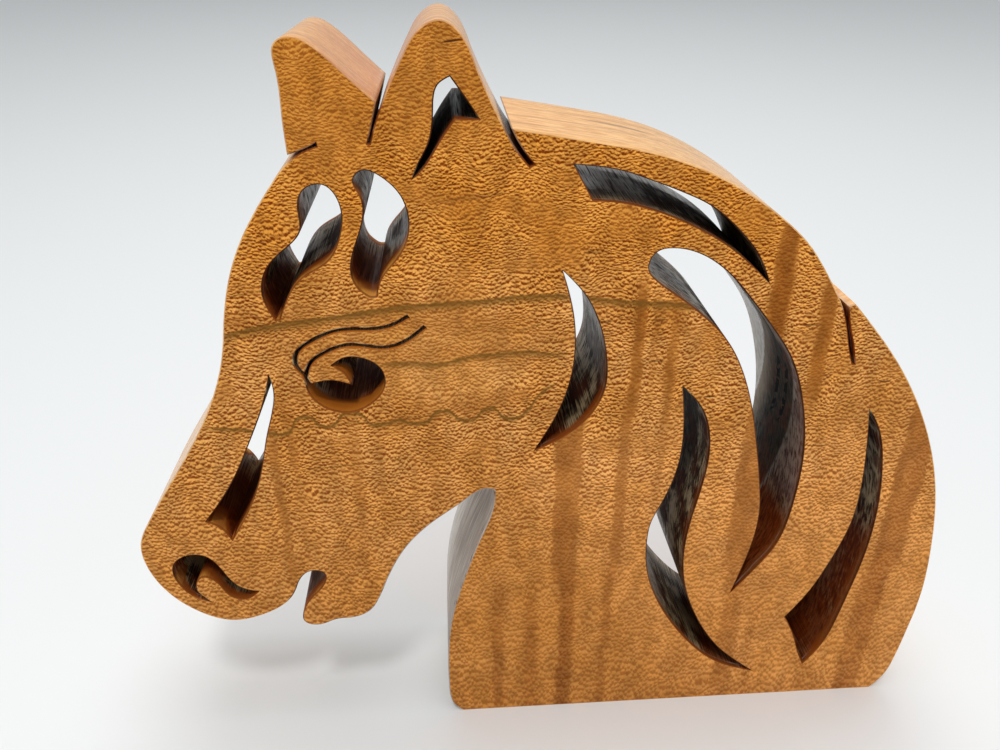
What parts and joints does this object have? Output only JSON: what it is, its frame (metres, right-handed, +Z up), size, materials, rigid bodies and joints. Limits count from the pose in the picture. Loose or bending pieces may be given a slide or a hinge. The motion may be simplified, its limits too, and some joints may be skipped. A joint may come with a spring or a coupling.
{
  "type": "horse head figure",
  "caption": "Standing horse head sawn from a thick hardwood board, with strokes cut right through it for the eye, lids, nostril, brow, ear, cheek, neck and mane.",
  "frame": {"origin": "on the plane of the foot, under the middle of the head's length and thickness", "axes": "nose towards -X, front face of the board towards -Y, up is +Z"},
  "size_m": [0.2234, 0.038, 0.2],
  "materials": {
    "wood": "sanded and oiled, with a fine ripple figure"
  },
  "bodies": {
    "root": {"horse_head": "wood"}
  },
  "joints": []
}
